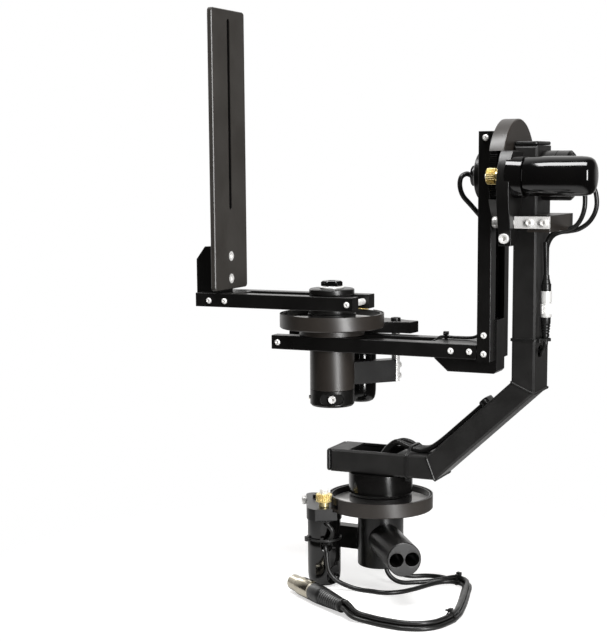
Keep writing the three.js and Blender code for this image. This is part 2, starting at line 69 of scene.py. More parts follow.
def about_z(axis, pinion, z):
    """Frame of a drive whose axis is upright: the motor stands on its local +X."""
    to_motor = AXIS[pinion] - AXIS[axis]
    turn = math.atan2(to_motor.y, to_motor.x)
    at = (AXIS[axis] - ORIGIN) / MM
    return HEAD @ Matrix.Translation((at.x, at.y, z)) @ Matrix.Rotation(turn, 4, "Z")


PAN = about_z("pan", "pan_pinion_spin", low("pan_gear_cover").z)
ROLL = about_z("roll", "roll_pinion_spin", low("roll_gear_cover").z)
TILT_Z = (AXIS["tilt"] - ORIGIN).z / MM
TILT_X = high("tilt_gear_cover").x
# the tilt drive lies down: its local X points at the viewer's side (-Y), Y up and Z along -X
TILT = HEAD @ Matrix(((0, 0, -1, TILT_X), (-1, 0, 0, 0), (0, 1, 0, TILT_Z), (0, 0, 0, 1)))
CENTRE = 63.3  # drive axis to motor axis
SPLIT = -26  # gearbox end and motor cover start
PIVOT = (64, -45)  # where a motor's plate turns, in its drive's frame
SHARP = math.radians(38)  # edges that turn more than this stay crisp

FLOOR = -20.3  # lowest point of the cords and the connector
WEB = 32.7  # underside of the web inside the pan tube, where two cords come out


# ---- materials ------------------------------------------------------------------------------------
def shader(name, color, roughness, metallic=0.0, coat=0.0, specular=0.5):
    mat = bpy.data.materials.new(name)
    mat.use_nodes = True
    tree = mat.node_tree
    bsdf = tree.nodes["Principled BSDF"]
    bsdf.inputs["Base Color"].default_value = (*color, 1)
    bsdf.inputs["Roughness"].default_value = roughness
    bsdf.inputs["Metallic"].default_value = metallic
    bsdf.inputs["Coat Weight"].default_value = coat
    bsdf.inputs["Coat Roughness"].default_value = 0.05
    bsdf.inputs["Specular IOR Level"].default_value = specular
    return mat, tree, bsdf


def noise_node(tree, scale, detail=4.0, stretch=(1, 1, 1)):
    coord = tree.nodes.new("ShaderNodeTexCoord")
    mapping = tree.nodes.new("ShaderNodeMapping")
    mapping.inputs["Scale"].default_value = stretch
    tex = tree.nodes.new("ShaderNodeTexNoise")
    tex.inputs["Scale"].default_value = scale
    tex.inputs["Detail"].default_value = detail
    tree.links.new(coord.outputs["Object"], mapping.inputs["Vector"])
    tree.links.new(mapping.outputs["Vector"], tex.inputs["Vector"])
    return tex.outputs["Fac"]


def vary_color(tree, bsdf, fac, dark, light):
    ramp = tree.nodes.new("ShaderNodeValToRGB")
    ramp.color_ramp.elements[0].position = 0.3
    ramp.color_ramp.elements[0].color = (*dark, 1)
    ramp.color_ramp.elements[1].position = 0.7
    ramp.color_ramp.elements[1].color = (*light, 1)
    tree.links.new(fac, ramp.inputs["Fac"])
    tree.links.new(ramp.outputs["Color"], bsdf.inputs["Base Color"])


def vary_roughness(tree, bsdf, fac, smooth, rough):
    span = tree.nodes.new("ShaderNodeMapRange")
    span.inputs["From Min"].default_value = 0.3
    span.inputs["From Max"].default_value = 0.7
    span.inputs["To Min"].default_value = smooth
    span.inputs["To Max"].default_value = rough
    tree.links.new(fac, span.inputs["Value"])
    tree.links.new(span.outputs["Result"], bsdf.inputs["Roughness"])


def bump(tree, bsdf, height, strength, distance):
    node = tree.nodes.new("ShaderNodeBump")
    node.inputs["Strength"].default_value = strength
    node.inputs["Distance"].default_value = distance
    tree.links.new(height, node.inputs["Height"])
    tree.links.new(node.outputs["Normal"], bsdf.inputs["Normal"])


def anodised(name, dark, light, smooth, rough, specular=0.5):
    """Bead-blasted and anodised aluminium: fine grain, faint cloudy tone."""
    mat, tree, bsdf = shader(name, light, rough, specular=specular)
    cloud = noise_node(tree, 22, 3)
    vary_color(tree, bsdf, cloud, dark, light)
    vary_roughness(tree, bsdf, cloud, smooth, rough)
    bump(tree, bsdf, noise_node(tree, 2600, 2), 0.12, 0.00004)
    return mat


def powder_coat():
    mat, tree, bsdf = shader("powder_coat", (0.012, 0.0118, 0.0115), 0.42)
    vary_color(tree, bsdf, noise_node(tree, 30, 4), (0.009, 0.0087, 0.0084), (0.0125, 0.012, 0.0116))
    vary_roughness(tree, bsdf, noise_node(tree, 60, 3), 0.38, 0.48)
    bump(tree, bsdf, noise_node(tree, 1800, 2), 0.1, 0.00004)
    return mat


def gloss_plastic():
    mat, tree, bsdf = shader("gloss_black", (0.002, 0.002, 0.002), 0.08, coat=0.1)
    vary_color(tree, bsdf, noise_node(tree, 25, 3), (0.0015, 0.0015, 0.0016), (0.003, 0.0028, 0.0027))
    vary_roughness(tree, bsdf, noise_node(tree, 90, 4), 0.07, 0.13)
    bump(tree, bsdf, noise_node(tree, 120, 2), 0.04, 0.0001)
    return mat


def metal(name, dark, light, smooth, rough, stretch=(1, 1, 1), grain=900, metallic=1.0):
    """Turned or ground bare metal with fine tool marks; plating that scatters light is less metallic."""
    mat, tree, bsdf = shader(name, light, rough, metallic=metallic)
    vary_color(tree, bsdf, noise_node(tree, 60, 4), dark, light)
    lines = noise_node(tree, grain, 3, stretch)
    vary_roughness(tree, bsdf, lines, smooth, rough)
    bump(tree, bsdf, lines, 0.15, 0.00003)
    return mat


def rubber(name, dark, light, smooth, rough):
    mat, tree, bsdf = shader(name, light, rough)
    vary_color(tree, bsdf, noise_node(tree, 80, 4), dark, light)
    vary_roughness(tree, bsdf, noise_node(tree, 140, 3), smooth, rough)
    bump(tree, bsdf, noise_node(tree, 1500, 2), 0.1, 0.00005)
    return mat


# most take a darker and a lighter tone, then the least and the greatest roughness
MATERIALS = {
    "black_anodised": anodised(
        "black_anodised", (0.0035, 0.0033, 0.0032), (0.006, 0.0057, 0.0055), 0.27, 0.34),
    "warm_anodised": anodised(
        "warm_anodised", (0.018, 0.0145, 0.012), (0.026, 0.0215, 0.018), 0.34, 0.41, 0.75),
    "powder_coat": powder_coat(),
    "gloss_black": gloss_plastic(),
    "bright_steel": metal(
        "bright_steel", (0.82, 0.81, 0.79), (0.96, 0.95, 0.93), 0.22, 0.36, (1, 1, 6), metallic=0.32),
    "brass": metal("brass", (0.8, 0.62, 0.25), (0.97, 0.84, 0.46), 0.2, 0.34, metallic=0.7),
    "black_rubber": rubber("black_rubber", (0.005, 0.005, 0.005), (0.009, 0.0088, 0.0085), 0.3, 0.42),
    "black_plastic": rubber("black_plastic", (0.004, 0.004, 0.004), (0.008, 0.0078, 0.0075), 0.34, 0.46),
    "nickel": metal("nickel", (0.4, 0.365, 0.29), (0.56, 0.52, 0.43), 0.16, 0.28),
}
MACHINED = metal("machined_gear", (0.5, 0.49, 0.48), (0.68, 0.67, 0.65), 0.3, 0.42, metallic=0.25)
SATIN_BLACK = anodised("satin_black", (0.0022, 0.0021, 0.002), (0.004, 0.0038, 0.0037), 0.13, 0.19)
# a lighter copy of warm_anodised for the camera plate: painted light, making its face brighter in place of a fill
# light from the right
PLATE_PAINTED_LIGHT = anodised("plate_anodised", (0.032, 0.0288, 0.0255), (0.045, 0.0415, 0.0375), 0.34, 0.41, 0.75)
# CAD nodes whose look isn't that of their slot
OTHER_FINISH = {
    # the camera plate wears the lighter copy of warm_anodised: painted light on its face
    "camera_plate": PLATE_PAINTED_LIGHT,
    "pan_neck": SATIN_BLACK,
    "crane_spigot": MATERIALS["black_anodised"],
    "roll_housing": MATERIALS["warm_anodised"],
    "roll_gearbox": MATERIALS["gloss_black"],
    "tilt_gearbox": MATERIALS["gloss_black"],
}


# ---- mesh tools -----------------------------------------------------------------------------------
def turned(bm, place, profile, steps=64):
    """Revolves (radius, height) points about place's Z; a third value makes that ring a hexagon."""
    rings = []
    for r, z, *hexed in profile:
        if r == 0:
            rings.append([bm.verts.new(place @ Vector((0, 0, z)))])
            continue
        ring = []
        for i in range(steps):
            a = 2 * math.pi * i / steps
            q = r * math.cos(math.pi / 6) / math.cos(a % (math.pi / 3) - math.pi / 6) if hexed else r
            ring.append(bm.verts.new(place @ Vector((q * math.cos(a), q * math.sin(a), z))))
        rings.append(ring)
    for a, b in zip(rings, rings[1:]):
        for i in range(steps):
            j = (i + 1) % steps
            corners = [a[i % len(a)], a[j % len(a)], b[j % len(b)], b[i % len(b)]]
            bm.faces.new(list(dict.fromkeys(corners)))


def prism(bm, place, outline, z0, z1):
    """Pushes a flat outline along place's Z."""
    lower, upper = ([bm.verts.new(place @ Vector((x, y, z))) for x, y in outline] for z in (z0, z1))
    count = len(outline)
    bm.faces.new(lower[::-1])
    bm.faces.new(upper)
    for i in range(count):
        j = (i + 1) % count
        bm.faces.new([lower[i], lower[j], upper[j], upper[i]])


def swept(bm, path, radius, sides=12, closed=False, wobble=0.0):
    """A round bar along a path of points in metres; wobble ripples its radius like a weld."""
    count = len(path)
    rings = []
    side = None
    for i, p in enumerate(path):
        before = path[i - 1] if i or closed else p
        after = path[(i + 1) % count] if i + 1 < count or closed else p
        ahead = (after - before).normalized()
        if side is None:
            side = ahead.orthogonal().normalized()
        side = (side - ahead * side.dot(ahead)).normalized()
        up = ahead.cross(side)
        r = radius * (1 + wobble * math.sin(i * 1.9) + wobble * noise.noise(p * 300))
        turn = [2 * math.pi * k / sides for k in range(sides)]
        rings.append([bm.verts.new(p + side * (r * math.cos(a)) + up * (r * math.sin(a))) for a in turn])
    last = count if closed else count - 1
    for i in range(last):
        a, b = rings[i], rings[(i + 1) % count]
        for k in range(sides):
            m = (k + 1) % sides
            bm.faces.new([a[k], a[m], b[m], b[k]])
    if not closed:
        bm.faces.new(rings[0][::-1])
        bm.faces.new(rings[-1])


def rounded(x0, x1, y0, y1, r, steps=6):
    """Outline of a rectangle with round corners."""
    pts = []
    corners = ((x1 - r, y0 + r, -90), (x1 - r, y1 - r, 0), (x0 + r, y1 - r, 90), (x0 + r, y0 + r, 180))
    for cx, cy, start in corners:
        for i in range(steps + 1):
            a = math.radians(start + 90 * i / steps)
            pts.append((cx + r * math.cos(a), cy + r * math.sin(a)))
    return pts


def smooth_path(points, steps=8):
    """Points of a Catmull-Rom curve through points in head millimetres, in metres."""
    p = [Vector(q) for q in points]
    p = [2 * p[0] - p[1], *p, 2 * p[-1] - p[-2]]
    out = []
    for i in range(1, len(p) - 2):
        for k in range(steps):
            t = k / steps
            out.append(0.5 * (2 * p[i] + (p[i + 1] - p[i - 1]) * t
                              + (2 * p[i - 1] - 5 * p[i] + 4 * p[i + 1] - p[i + 2]) * t * t
                              + (3 * p[i] - p[i - 1] - 3 * p[i + 1] + p[i + 2]) * t * t * t))
    out.append(p[-2])
    return [HEAD @ q for q in out]


def new_object(name, bm, finish):
    bmesh.ops.recalc_face_normals(bm, faces=bm.faces)
    mesh = bpy.data.meshes.new(name)
    bm.to_mesh(mesh)
    bm.free()
    mesh.polygons.foreach_set("use_smooth", [True] * len(mesh.polygons))
    mesh.set_sharp_from_angle(angle=SHARP)
    mesh.materials.append(MATERIALS[finish])
    obj = bpy.data.objects.new(name, mesh)
    bpy.context.scene.collection.objects.link(obj)
    return obj


def cut(obj, bm):
    """Takes the shape in bm out of obj."""
    cutter = new_object("cutter", bm, "gloss_black")
    mod = obj.modifiers.new("cut", "BOOLEAN")
    mod.object = cutter
    mod.solver = "EXACT"
    graph = bpy.context.evaluated_depsgraph_get()
    mesh = bpy.data.meshes.new_from_object(obj.evaluated_get(graph))
    obj.modifiers.clear()
    obj.data = mesh
    mesh.set_sharp_from_angle(angle=SHARP)
    bpy.data.objects.remove(cutter)


def soften(obj, width):
    """Rounds the sharp edges a little, so that they catch the light."""
    mod = obj.modifiers.new("edges", "BEVEL")
    mod.width = width * MM
    mod.segments = 2
    mod.limit_method = "ANGLE"
    mod.angle_limit = SHARP
    mod.harden_normals = True


def piece(name, bm, body, finish, stands_for=(), edge=0.0):
    obj = new_object(name, bm, finish)
    if edge:
        soften(obj, edge)
    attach(obj, body)
    if stands_for:
        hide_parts(*stands_for)
    return obj


# ---- camera ---------------------------------------------------------------------------------------
def make_camera():
    """Placed in head millimetres and turned by yaw, pitch and roll."""
    data = bpy.data.cameras.new("camera")
    data.sensor_fit, data.sensor_width = "HORIZONTAL", 36
    data.lens, data.shift_y = 85.3, 0.0816
    data.clip_start, data.clip_end = 0.05, 50
    cam = bpy.data.objects.new("camera", data)
    yaw, pitch, roll = (math.radians(a) for a in (25.444, -8.194, -0.455))
    turn = Matrix.Rotation(yaw, 4, "Z") @ Matrix.Rotation(math.pi / 2 + pitch, 4, "X")
    stand = HEAD @ Vector((591.2, -1438.5, 441.1))
    cam.matrix_world = Matrix.Translation(stand) @ turn @ Matrix.Rotation(roll, 4, "Z")
    bpy.context.scene.collection.objects.link(cam)
    bpy.context.scene.camera = cam


# ---- free cords: the same routes as the CAD source, in head millimetres --------------------------
CORD_R = 2.5
LIE = FLOOR + CORD_R  # height of a cord's middle where it lies on the floor
BUNDLE = [(80, 23.4), (88, 21), (95, 14.5), (99.5, 4), (103, -10), (109.5, -35), (116, -64), (120.5, -93),
          (118.5, -117), (109, -138), (91, -148), (69, -148.5), (47, -144)]
SIDE = 2.9  # how far a cord of the bundle lies from its middle line
PILE = 4.9  # how far the third cord is raised by lying on the other two


def strand(side, lift):
    """One cord of the bundle: side is its place across the route, lift raises it onto the other two."""
    out = []
    for i, (x, y) in enumerate(BUNDLE):
        ax, ay = BUNDLE[max(0, i - 1)]
        bx, by = BUNDLE[min(len(BUNDLE) - 1, i + 1)]
        span = math.hypot(bx - ax, by - ay)
        out.append((x - side * (by - ay) / span, y + side * (bx - ax) / span, LIE + lift))
    return out


ROUTES = {
    "motor_cord": [
        (-48.9, -42.7, 27), (-46.5, -46.5, 26.8), (-44, -50.3, 25.2),
        (-41.9, -53.7, 21.6), (-40.5, -55.6, 16), (-39.5, -56.4, 9), (-37.2, -56, 0.5), (-31, -53.6, -8),
        (-19, -50, -14.6), (-5, -48, LIE), (10, -48.6, LIE), (24, -48.2, LIE), (37, -40, LIE),
        (47, -25, LIE), (54, -9, LIE), (59, 3, LIE), (64.4, 12, LIE), (71.4, 18.3, LIE), *strand(-SIDE, 0),
        (31, -139, LIE + 3), (20.4, -133.2, LIE + 6.2)],
    "signal_cord": [
        (9, -8, WEB), (9, -8, 20), (9, -8.2, 8), (9.8, -8.4, -1), (13, -8.2, -9),
        (19.5, -7, -15), (28, -4.5, LIE), (39, 1, LIE), (51, 9.5, LIE), (61, 17, LIE + 1),
        (70.5, 21.6, LIE + 3), *strand(0, PILE), (31.5, -142, LIE + 7), (20.4, -135.2, LIE + 11.4)],
    "power_cord": [
        (9, 8, WEB), (9, 8, 20), (9, 8.2, 8), (10, 8.8, -1), (13.4, 11, -9),
        (20, 16, -15), (29, 23.5, LIE), (43, 31, LIE), (57, 33, LIE), (70, 29.6, LIE), *strand(SIDE, 0),
        (29, -146.5, LIE + 3), (17.2, -138.2, LIE + 6.2)],
}


def make_cord(name):
    curve = bpy.data.curves.new(f"{name}_jacket", "CURVE")
    curve.dimensions = "3D"
    curve.bevel_depth = CORD_R * MM
    curve.bevel_resolution = 5
    curve.resolution_u = 10
    curve.use_fill_caps = True
    points = [HEAD @ Vector(p) for p in ROUTES[name]]
    spline = curve.splines.new("BEZIER")
    spline.bezier_points.add(len(points) - 1)
    for knot, p in zip(spline.bezier_points, points):
        knot.co = p
        knot.handle_left_type = knot.handle_right_type = "AUTO"
    curve.materials.append(MATERIALS["black_rubber"])
    obj = bpy.data.objects.new(f"{name}_jacket", curve)
    bpy.context.scene.collection.objects.link(obj)
    bpy.context.view_layer.update()
    length = curve.splines[0].calc_length()
    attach(obj, "base")
    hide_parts(name)
    return obj, points[0], length


# ---- places and shapes for the fine pieces --------------------------------------------------------
def aim(start, ahead, side=(0, 0, 1)):
    """Frame at start, in head millimetres, with Z along ahead and X as near side as it can be."""
    z = Vector(ahead).normalized()
    x = Vector(side)
    x = (x - z * x.dot(z)).normalized()
    return HEAD @ Matrix.Translation(start) @ Matrix((x, z.cross(x), z)).transposed().to_4x4()


def shifted(place, x=0.0, y=0.0, z=0.0):
    return place @ Matrix.Translation((x, y, z))


Z_TO_X = Matrix.Rotation(math.pi / 2, 4, "Y")  # turns a frame so that its Z runs along its old X


def strap(bm, place, path, width, thick=1.0):
    """A flat band round a closed anticlockwise outline."""
    count = len(path)
    rings = []
    for i, (x, y) in enumerate(path):
        (ax, ay), (bx, by) = path[i - 1], path[(i + 1) % count]
        span = math.hypot(bx - ax, by - ay)
        nx, ny = (by - ay) / span * thick, (ax - bx) / span * thick
        h = width / 2
        corners = ((x, y, -h), (x, y, h), (x + nx, y + ny, h), (x + nx, y + ny, -h))
        rings.append([bm.verts.new(place @ Vector(c)) for c in corners])
    for i in range(count):
        a, b = rings[i], rings[(i + 1) % count]
        for k in range(4):
            m = (k + 1) % 4
            bm.faces.new([a[k], a[m], b[m], b[k]])


def tie_head(bm, place, size=5.4):
    """Lock of a cable tie with its cut tail; place's X points away from the bundle, Z along it."""
    h = size / 2
    prism(bm, place, rounded(-0.3, 3.6, -h, h, 0.7, 3), -h, h)
    prism(bm, place, rounded(0.6, 2.0, h - 0.2, h + 3.2, 0.4, 2), -h * 0.62, h * 0.62)


def circle(r, steps=64):
    turn = [2 * math.pi * i / steps for i in range(steps)]
    return [(r * math.cos(a), r * math.sin(a)) for a in turn]


def arc(cx, cy, r, start, end, steps=10):
    turn = [math.radians(start + (end - start) * i / steps) for i in range(steps + 1)]
    return [(cx + r * math.cos(a), cy + r * math.sin(a)) for a in turn]


def button_head(bm, place, r, h, steps=24):
    """A domed screw head with a hexagon socket, standing on place's XY plane."""
    turned(bm, place, [(0, -0.3), (r, -0.3), (r, 0.3 * h), (0.88 * r, 0.7 * h), (0.66 * r, 0.95 * h),
                       (0.54 * r, h), (0.46 * r, h, 1), (0.46 * r, 0.35 * h, 1), (0, 0.35 * h)], steps)


def cap_head(bm, place, r, h, steps=36):
    """A cylindrical screw head with a hexagon socket."""
    turned(bm, place, [(0, -0.3), (r, -0.3), (r, 0.86 * h), (0.92 * r, h), (0.6 * r, h),
                       (0.56 * r, h - 0.2, 1), (0.56 * r, 0.3 * h, 1), (0, 0.3 * h)], steps)


# one tooth, as (share of its height, share of the pitch)
FLANKS = ((0, -0.36), (0.45, -0.27), (0.85, -0.16), (1, -0.11),
          (1, 0.11), (0.85, 0.16), (0.45, 0.27), (0, 0.36))
PLAIN_FLANKS = ((0, -0.3), (1, -0.14), (1, 0.14), (0, 0.3))


def toothed(teeth, root, tip, phase, flanks=FLANKS):
    """Outline of a gear whose first tooth is at phase."""
    step = 2 * math.pi / teeth
    turn = [(root + (tip - root) * h, phase + (i + t) * step) for i in range(teeth) for h, t in flanks]
    return [(r * math.cos(a), r * math.sin(a)) for r, a in turn]


# ---- connector and cords --------------------------------------------------------------------------
PLUG_R = 10.1


def make_connector():
    """Metal shell with three pins in its open nose, and a ridged boot that the three cords run into."""
    nose, tail = Vector((-72, -73.5, FLOOR + PLUG_R)), Vector((17.6, -134.9, FLOOR + PLUG_R))
    place = aim(nose, tail - nose)
    bm = bmesh.new()
    turned(bm, place, [
        (0, 12), (7, 12), (7, 0.5), (7.4, 0), (8.1, 0), (8.6, 0.6), (8.6, 15.6), (7.6, 16), (7.6, 17.2),
        (8.6, 17.4), (9.6, 17.7), (10, 18.2), (10, 40.6), (9.7, 41), (9.7, 42), (10, 42.4), (10, 44),
        (0, 44)])
    prism(bm, shifted(place, 9.4, 0, 0), rounded(-1, 1.5, -2.6, 2.6, 0.8), 33, 41.5)
    pin_ring = 3.9
    for degrees in (30, 150, 270):
        a = math.radians(degrees)
        pin = shifted(place, pin_ring * math.cos(a), pin_ring * math.sin(a))
        turned(bm, pin, [(0, 12), (1.15, 12), (1.15, 5), (0.7, 4), (0, 3.8)], 16)
    piece("connector_shell", bm, "base", "nickel", ["cord_plug"], 0.15)
    bm = bmesh.new()
    profile = [(0, 44.1), (9.9, 44.1), (PLUG_R, 44.6), (PLUG_R, 55), (9.9, 60), (9.6, 64),
               (9.2, 64.6), (8.2, 65)]
    ridges, shrink, pitch = 9, 0.24, 3.4
    for i in range(ridges):
        r, z = 9.5 - shrink * i, 66 + i * pitch
        profile += [(r - 1.1, z), (r - 0.2, z + 0.5), (r, z + 1), (r - 0.05, z + 2), (r - 1.1, z + 2.5)]
    profile += [(6.8, 97), (7.4, 97.4), (7.4, 101), (6.9, 101.6), (0, 101.6)]
    turned(bm, place, profile, 48)
    # the cords' last stretch runs on and closes up inside the boot
    depth, spread, straight = 92, 0.45, 4
    for route in ROUTES.values():
        before, last = (Vector(p) for p in route[-2:])
        inside = nose + (tail - nose).normalized() * depth
        inside += (last - tail) * spread
        on = last + (last - before).normalized() * straight
        swept(bm, [HEAD @ p for p in (last - (last - before) * 0.05, last, on, on.lerp(inside, 0.5), inside)],
              CORD_R * MM, 16)
    return piece("connector_boot", bm, "base", "black_rubber", ["cord_plug"])


def make_cords():
    boot = make_connector()
    for name in ROUTES:
        obj, start, length = make_cord(name)


def make_bundle_ties():
    """Two ties, each drawn round the bundle's three cords and flat where it lies on the floor."""
    r, lowest = CORD_R + 0.1, ORIGIN.z + (FLOOR + 0.05) * MM
    lean = math.degrees(math.atan2(PILE, SIDE))
    path = arc(PILE, 0, r, -lean, lean) + arc(0, SIDE, r, lean, 180) + arc(0, -SIDE, r, 180, 360 - lean)
    for i, near in enumerate((0, 7), 1):
        (ax, ay), (bx, by) = BUNDLE[near:near + 2]
        place = aim(((ax + bx) / 2, (ay + by) / 2, LIE), (bx - ax, by - ay, 0))
        bm = bmesh.new()
        strap(bm, place, path, 2.8, 0.9)
        tie_head(bm, shifted(place, PILE + r + 0.2), 4.4)
        for v in bm.verts:
            v.co.z = max(v.co.z, lowest)
        piece(f"bundle_tie_{i}", bm, "base", "black_plastic", edge=0.2)


# ---- drives: gears, motor covers, pinions and screws of the three axes -----------------------------
DOWN_Y = Matrix(((1, 0, 0, 0), (0, 0, -1, 0), (0, 1, 0, 0), (0, 0, 0, 1)))  # pushes an X-Z outline along -Y
BRACKET_END, TILT_BRACKET_END = 80.7, 66.5  # far faces of the brackets' end plates
END_PLATE, HALF_PLATE = 5, 6  # thickness and half width of an end plate
# cover_r, end, split: the motor cover's radius, its round end and where it meets the gearbox
# arch_top: top of the lead's opening; shaft: radius and top of the motor shaft
# seat, drop: foot of the pinion's hub, and how much lower its teeth are
# outlet: the end plate's body, its face, the screws' heights, and if it faces straight out from the axis
DRIVES = {
    "pan": dict(at=PAN, cover_r=18.2, end=-84, split=-30, arch_top=-10.5, shaft=(4.6, 22.4), seat=3.4, drop=0,
                rotor="arm", outlet=("base", BRACKET_END, (-31.5, -43.5), True)),
    "roll": dict(at=ROLL, cover_r=17.6, end=-92, split=SPLIT, arch_top=SPLIT + 9, shaft=(2.6, 18.6), seat=3.4,
                 drop=0, rotor="roll_rotor", outlet=("roll_carriage", BRACKET_END, (-47, -59), True)),
    "tilt": dict(at=TILT, cover_r=19.4, end=-95, split=SPLIT, arch_top=SPLIT + 9, shaft=(2.6, 15.6),
                 seat=-1.8, drop=4, rotor="tilt_rotor",
                 outlet=("arm", TILT_BRACKET_END, (-31, -45.4), False)),
}
ARCH_FOOT, ARCH_HALF = SPLIT - 18, 6.5
PIN_R = 3.2  # pin that a motor's plate turns on
PIVOT_TURN = Matrix.Rotation(math.atan2(PIVOT[1], PIVOT[0]), 4, "Z")


def cut_arch(obj, place, r, top):
    """The motor lead's arched opening in the side that faces local +Y."""
    bm = bmesh.new()
    prism(bm, place @ DOWN_Y, rounded(-ARCH_HALF, ARCH_HALF, ARCH_FOOT, top, 6.4, 10), -(r + 4), -(r - 9))
    cut(obj, bm)


def make_cover(name, drive):
    """Moulded motor cover with a round end; the pan cover has a scoop in its side as well."""
    r, end, top = drive["cover_r"], drive["end"], drive["split"] - 0.3
    place = shifted(drive["at"], CENTRE)
    bm = bmesh.new()
    turned(bm, place, [
        (0, top), (r - 0.9, top), (r - 0.3, top - 0.25), (r, top - 0.9), (r, end + 42),
        (r - 0.1, end + 24), (r - 0.2, end + 14), (r - 0.7, end + 8.5), (r - 1.6, end + 4.8),
        (r - 3.4, end + 2.2), (r - 6.4, end + 0.6), (r - 10, end), (0, end)], 72)
    cover = new_object(f"{name}_cover_shell", bm, "gloss_black")
    cut_arch(cover, place, r, drive["arch_top"])
    if name == "pan":
        bm = bmesh.new()
        wide, tall = 14, 16
        turn = [math.radians(a) for a in range(-80, 81, 8)]
        scoop = [(0, -tall)] + [(wide * math.cos(a), tall * math.sin(a)) for a in turn] + [(0, tall)]
        turned(bm, shifted(place, -13.2, r + 5, end + 12), scoop, 64)
        cut(cover, bm)
    soften(cover, 0.5)
    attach(cover, f"{name}_motor")
    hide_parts(f"{name}_motor_cover")


def make_pan_flange():
    """The pan motor's plate, narrow round the motor, with the gearbox below it."""
    place = shifted(PAN, CENTRE)
    r, facet = 19.4, 15.2
    side = math.degrees(math.asin(facet / r))
    tail = arc(2.7, -59.5, 9, 180, 360, 16)
    outline = tail + arc(0, 0, r, -38, side, 16) + arc(0, 0, r, 180 - side, 196, 16)
    outline += [(-18, -22), (-17.3, -36), (-8.3, -52)]
    bm = bmesh.new()
    prism(bm, place, outline, -9.7, 3.2)
    plate = new_object("pan_motor_flange", bm, "black_anodised")
    bm = bmesh.new()
    tray_room = 58.2
    turned(bm, PAN, [(0, -0.3), (tray_room, -0.3), (tray_room, 9), (0, 9)], 96)
    cut(plate, bm)
    soften(plate, 0.6)
    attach(plate, "pan_motor")
    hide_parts("pan_motor_plate")
    bm = bmesh.new()
    split, box_r = DRIVES["pan"]["split"], 18.3
    turned(bm, place, [(0, split), (box_r - 1, split), (box_r - 0.2, split + 0.8), (box_r, -10),
                       (0, -10)], 72)
    gearbox = new_object("pan_gearbox_shell", bm, "gloss_black")
    cut_arch(gearbox, place, box_r, DRIVES["pan"]["arch_top"])
    soften(gearbox, 0.4)
    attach(gearbox, "pan_motor")
    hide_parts("pan_gearbox")


def make_pivot_plate(name, drive):
    """Silver end plate of the bracket with the motor plate's pivot pin under a low black cap."""
    body = drive["outlet"][0]
    bar = low(f"{name}_bracket_bar").z - low(f"{name}_gear_cover").z
    bm = bmesh.new()
    outline = rounded(BRACKET_END - END_PLATE, BRACKET_END, -HALF_PLATE, HALF_PLATE, 0.8, 4)
    prism(bm, drive["at"] @ PIVOT_TURN, outline, bar, -10)
    turned(bm, shifted(drive["at"], *PIVOT), [(0, -10.5), (PIN_R, -10.5), (PIN_R, 3.4), (0, 3.4)], 32)
    piece(f"{name}_bracket_end_plate", bm, body, "bright_steel", [f"{name}_pivot_plate"], 0.3)
    bm = bmesh.new()
    cap_head(bm, shifted(drive["at"], *PIVOT, 3.6), 5.6, 3.2)
    piece(f"{name}_pivot_cap", bm, body, "black_anodised", [f"{name}_pivot_plate"], 0.3)


def make_tilt_plate():
    """The tilt motor's plate, set back behind the tray, with its pivot and the bracket's end plate."""
    bm = bmesh.new()
    outline = [(37, 24), (70, 25), (76, 18.6), (81, 9), (84, -2), (84.6, -13), (83.4, -26), (80.4, -40),
               (76, -54), (75, -68), (57, -68), (55, -52), (46, -36), (39, -22), (36, -8)]
    back, face = -15, -2
    prism(bm, TILT, outline, back, face)
    piece("tilt_motor_flange", bm, "tilt_motor", "black_anodised", ["tilt_motor_plate"], 0.8)
    bm = bmesh.new()
    outline = rounded(TILT_BRACKET_END - END_PLATE, TILT_BRACKET_END,
                      PIVOT[1] - HALF_PLATE, PIVOT[1] + HALF_PLATE, 0.8, 4)
    prism(bm, TILT, outline, -50.6, back - 0.3)
    pivot = shifted(TILT, *PIVOT)
    turned(bm, pivot, [(0, back - 0.4), (PIN_R, back - 0.4), (PIN_R, face + 0.1), (0, face + 0.1)], 32)
    turned(bm, pivot, [(0, face + 0.2), (5.6, face + 0.2), (5.6, 1.2), (5.1, 1.5), (5.1, 2), (5.6, 2.3),
                       (5.6, 6), (5.1, 6.5), (0, 6.5)], 40)
    piece("tilt_bracket_end_plate", bm, "arm", "bright_steel", ["tilt_pivot_plate"], 0.3)


GEAR_TEETH, GEAR_ROOT, GEAR_TIP = 176, 54.3, 55.5
WEB_TOP, RING_INSIDE = 8.2, 53.4  # floor of the recess, and its outer radius


def make_drive_gear(name, drive):
    """A gear with a recessed face inside its toothed ring, where the CAD has a plain disc."""
    bm = bmesh.new()
    prism(bm, drive["at"], toothed(GEAR_TEETH, GEAR_ROOT, GEAR_TIP, 0, PLAIN_FLANKS), 7.4, 15.2)
    gear = new_object(f"{name}_gear_ring", bm, "black_anodised")
    hub = 34.5 if name == "pan" else 26.5
    above, bore = 20, 12.3
    bm = bmesh.new()
    turned(bm, drive["at"], [(hub, WEB_TOP), (RING_INSIDE, WEB_TOP), (RING_INSIDE, above), (hub, above),
                             (hub, WEB_TOP)], 96)
    cut(gear, bm)
    bm = bmesh.new()
    turned(bm, drive["at"], [(0, 5), (bore, 5), (bore, above), (0, above)], 48)
    cut(gear, bm)
    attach(gear, drive["rotor"])
    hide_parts(f"{name}_drive_gear")
    bm = bmesh.new()
    inside, outside, top = hub + 0.2, RING_INSIDE - 0.2, WEB_TOP + 0.3
    turned(bm, drive["at"], [(inside, WEB_TOP), (outside, WEB_TOP), (outside, top), (inside, top),
                             (inside, WEB_TOP)], 96)
    face = piece(f"{name}_gear_web", bm, drive["rotor"], "bright_steel", [f"{name}_drive_gear"])
    face.material_slots[0].material = MACHINED


PINION_TEETH, PINION_TIP, TOOTH = 26, 8.9, 1.4


